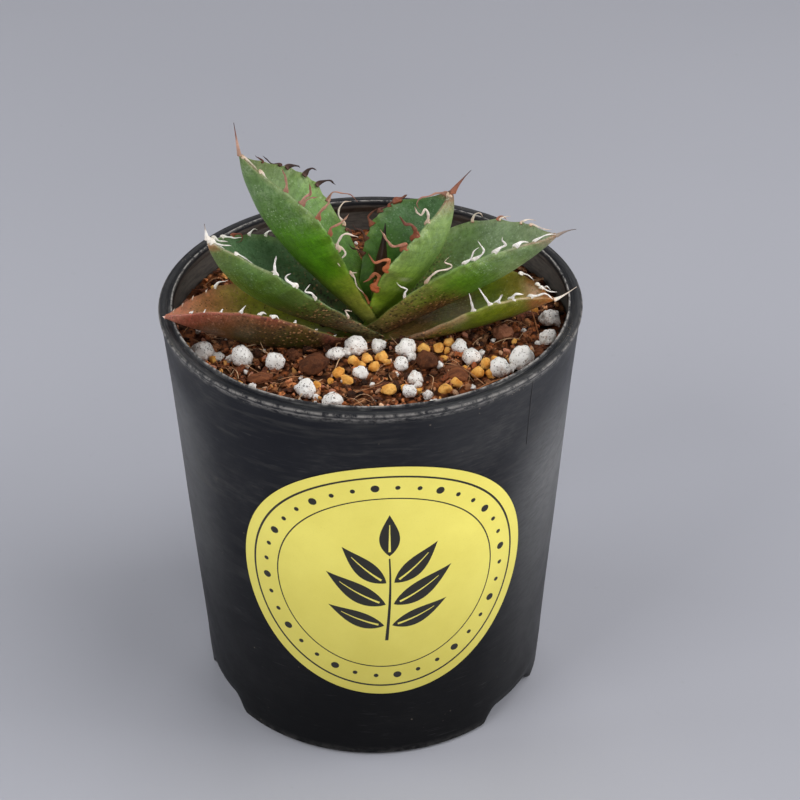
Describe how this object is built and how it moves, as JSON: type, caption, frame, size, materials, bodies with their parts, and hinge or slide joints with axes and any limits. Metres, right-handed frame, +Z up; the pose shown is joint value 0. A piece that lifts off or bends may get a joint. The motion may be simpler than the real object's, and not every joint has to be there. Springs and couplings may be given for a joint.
{
  "type": "potted agave",
  "caption": "Young agave with broad toothed leaves in two ranks, growing in a tall round black nursery pot with a round yellow sticker and a perlite and coir mix.",
  "frame": {"origin": "on the pot's axis, in the plane of its feet", "axes": "+Z up along the pot's axis, -Y towards the label at the front"},
  "size_m": [0.105, 0.105, 0.1595],
  "materials": {
    "pot_plastic": "dusty satin black, slightly scuffed",
    "label_vinyl": "printed yellow sticker with a dark ring and a plain motif",
    "soil": "moist brown coir and bark crumbs",
    "perlite": "chalky white, pitted",
    "baked_clay": "orange-brown, matt",
    "bark": "fibrous brown",
    "leaf_green": "waxy succulent leaf, green with paler bloom",
    "leaf_red": "waxy succulent leaf flushed red-brown",
    "bud": "dark horny point",
    "stem": "pale corky neck"
  },
  "bodies": {
    "root": {"bark_chip_01": "bark", "bark_chip_02": "bark", "bark_chip_03": "bark", "bud": "bud", "clay_grain_01": "baked_clay", "clay_grain_02": "baked_clay", "clay_grain_03": "baked_clay", "clay_grain_04": "baked_clay", "clay_grain_05": "baked_clay", "clay_grain_06": "baked_clay", "clay_grain_07": "baked_clay", "clay_grain_08": "baked_clay", "clay_grain_09": "baked_clay", "clay_grain_10": "baked_clay", "clay_grain_11": "baked_clay", "clay_grain_12": "baked_clay", "label": "label_vinyl", "leaf_left_lower": "leaf_red", "leaf_left_middle": "leaf_green", "leaf_left_upper": "leaf_green", "leaf_right_lower": "leaf_green", "leaf_right_middle": "leaf_green", "leaf_right_upper": "leaf_green", "perlite_01": "perlite", "perlite_02": "perlite", "perlite_03": "perlite", "perlite_04": "perlite", "perlite_05": "perlite", "perlite_06": "perlite", "perlite_07": "perlite", "perlite_08": "perlite", "perlite_09": "perlite", "perlite_10": "perlite", "perlite_11": "perlite", "perlite_12": "perlite", "perlite_13": "perlite", "perlite_14": "perlite", "perlite_15": "perlite", "perlite_16": "perlite", "perlite_17": "perlite", "perlite_18": "perlite", "perlite_19": "perlite", "pot": "pot_plastic", "soil_crumb_01": "soil", "soil_crumb_02": "soil", "soil_crumb_03": "soil", "soil_crumb_04": "soil", "soil_mix": "soil", "stem": "stem"}
  },
  "joints": []
}
